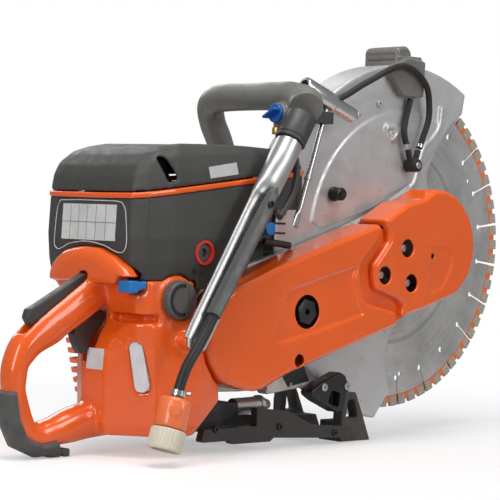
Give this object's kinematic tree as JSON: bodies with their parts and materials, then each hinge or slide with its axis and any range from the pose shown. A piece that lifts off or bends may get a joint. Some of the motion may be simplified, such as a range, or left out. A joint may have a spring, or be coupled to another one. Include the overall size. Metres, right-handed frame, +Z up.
{
  "type": "rescue saw",
  "caption": "Petrol power cutter: orange engine unit with rear handle tank, belt-driven segmented disc in a tilting guard, tubular front handle, water hose and stowed wrench.",
  "frame": {"origin": "On the ground under the middle of the saw's bounding box, measured without the short supply hose and its fittings. The saw stands on its two front feet and the bumper of its rear handle.", "axes": "+X points forwards from the rear handle to the cutting disc, +Y to the operator's left, which is the starter side, and +Z up. The disc turns about an axis parallel to Y."},
  "size_m": [0.7608, 0.2561, 0.4687],
  "materials": {
    "orange": "glossy moulded orange plastic",
    "cover": "fine-grained dark grey plastic",
    "grey_rubber": "matt grey rubber",
    "dark_grey": "dark grey plastic",
    "warm_grey": "warm grey soft plastic",
    "channel_grey": "satin grey plastic",
    "trigger": "brown-black plastic",
    "cap_grey": "grey plastic",
    "blue": "blue plastic",
    "clear_blue": "translucent blue plastic",
    "window": "translucent white plastic",
    "paper": "pleated filter paper",
    "cast": "as cast, bead blasted",
    "dark_metal": "dark coated cast aluminium",
    "ceramic": null,
    "silver": "bright aluminium tube",
    "steel": "machined steel",
    "blade": "ground steel disc",
    "guard": "silver-grey painted pressed metal",
    "black": "black rubber and black coated small parts",
    "coupling": "orange plastic",
    "ivory": "ivory plastic",
    "foot": "dark warm grey rubber",
    "frame_dark": "dark grey painted steel",
    "black_metal": "black coated steel"
  },
  "bodies": {
    "saw": {"air_filter": "paper", "carburettor": "cast", "cover_nut_lower": "black_metal", "cover_nut_rear": "black_metal", "cover_nut_upper": "black_metal", "cover_seal": "orange", "crankcase": "cast", "cutting_arm": "cast", "cylinder": "dark_metal", "drive_belt": "black", "filter_base": "cover", "filter_cover": "cover", "foot_bracket": "black_metal", "front_belt_cover": "orange", "front_handle_grip": "warm_grey", "front_handle_tube": "silver", "handle_bumper": "grey_rubber", "handle_collar": "dark_grey", "hose_channel": "channel_grey", "hose_clamp": "silver", "hose_coupling": "coupling", "left_foot": "foot", "left_handle_leg": "silver", "muffler": "silver", "rear_belt_cover": "orange", "rear_handle_tank": "orange", "right_foot": "foot", "spark_plug": "ceramic", "starter_housing": "orange", "supply_hose": "black", "support_frame": "frame_dark", "tank_window": "window", "valve_hose": "black", "wrench_clip": "dark_grey"},
    "blade": {"cutting_blade": "blade", "outer_flange": "steel", "blade_bolt": "steel", "spindle": "steel", "front_pulley": "cast"},
    "crank": {"crankshaft": "steel", "clutch_drum": "steel", "flywheel": "cast"},
    "starter_handle": {"starter_grip": "dark_grey"},
    "starter_reel": {"starter_pulley": "dark_grey"},
    "guard": {"blade_guard": "guard", "guard_handle": "warm_grey", "water_nozzle": "black", "guard_stop_screw": "black_metal", "nozzle_hose": "black", "guard_hose": "black"},
    "trigger": {"throttle_trigger": "trigger"},
    "lockout": {"throttle_lockout": "dark_grey"},
    "start_button": {"choke_button": "blue"},
    "decompression_button": {"decompression_valve": "blue"},
    "tank_cap": {"fuel_cap": "cap_grey"},
    "bail": {"cap_bail": "dark_grey"},
    "water_knob": {"water_valve": "clear_blue"},
    "tensioner": {"belt_tensioner": "black_metal"},
    "coupling_nut": {"swivel_nut": "ivory"},
    "wrench": {"combination_wrench": "silver"}
  },
  "joints": [
    {"name": "blade_spin", "type": "hinge", "parent": "saw", "child": "blade", "pos_m": [0.18056, -0.0085, 0.232], "axis": [0, 1, 0], "continuous": true},
    {"name": "crank_turn", "type": "hinge", "parent": "saw", "child": "crank", "pos_m": [-0.11144, -0.0085, 0.139], "axis": [0, 1, 0], "continuous": true},
    {"name": "starter_pull", "type": "slide", "parent": "saw", "child": "starter_handle", "axis": [0, 1, 0], "range_m": [0, 0.01], "stiffness_N_per_m": 400, "springref_m": -0.005},
    {"name": "starter_reel_turn", "type": "hinge", "parent": "saw", "child": "starter_reel", "pos_m": [-0.11144, 0.0725, 0.139], "axis": [0, 1, 0], "range_deg": [0, 30]},
    {"name": "guard_tilt", "type": "hinge", "parent": "saw", "child": "guard", "pos_m": [0.18056, -0.0085, 0.232], "axis": [0, 1, 0], "range_deg": [-10, 45]},
    {"name": "trigger_squeeze", "type": "hinge", "parent": "saw", "child": "trigger", "pos_m": [-0.25744, 0.0015, 0.148], "axis": [0, 1, 0], "range_deg": [0, 12], "stiffness_Nm_per_rad": 0.6, "springref_deg": -5.73},
    {"name": "lockout_press", "type": "hinge", "parent": "saw", "child": "lockout", "pos_m": [-0.27844, 0.0015, 0.178], "axis": [0, 1, 0], "range_deg": [-5, 0], "stiffness_Nm_per_rad": 0.8, "springref_deg": 5.73},
    {"name": "start_button_pull", "type": "slide", "parent": "saw", "child": "start_button", "axis": [-1, 0, 0], "range_m": [0, 0.01]},
    {"name": "decompression_press", "type": "slide", "parent": "saw", "child": "decompression_button", "axis": [0, 1, 0], "range_m": [0, 0.004]},
    {"name": "cap_turn", "type": "hinge", "parent": "saw", "child": "tank_cap", "pos_m": [-0.21044, -0.0785, 0.167], "axis": [0, 1, 0], "range_deg": [0, 90]},
    {"name": "bail_fold", "type": "hinge", "parent": "tank_cap", "child": "bail", "pos_m": [-0.20944, -0.0825, 0.167], "axis": [0, 0, 1], "range_deg": [0, 90]},
    {"name": "water_valve_turn", "type": "hinge", "parent": "saw", "child": "water_knob", "pos_m": [-0.06444, -0.0615, 0.372], "axis": [1, 0, 0], "range_deg": [0, 90]},
    {"name": "tensioner_turn", "type": "hinge", "parent": "saw", "child": "tensioner", "pos_m": [-0.03444, -0.0585, 0.154], "axis": [0, 1, 0], "range_deg": [0, 90]},
    {"name": "coupling_nut_turn", "type": "hinge", "parent": "saw", "child": "coupling_nut", "pos_m": [-0.25623, -0.11785, 0.02659], "axis": [-0.2998, -0.03, -0.9535], "continuous": true},
    {"name": "wrench_lift", "type": "slide", "parent": "saw", "child": "wrench", "axis": [0.4, 0.11, 0.9099], "range_m": [0, 0.12]}
  ],
  "couplings": [
    {"joint": "crank_turn", "follows": "blade_spin", "ratio": 1.1765},
    {"joint": "starter_reel_turn", "follows": "starter_pull", "rad_per_m": 38.5}
  ]
}
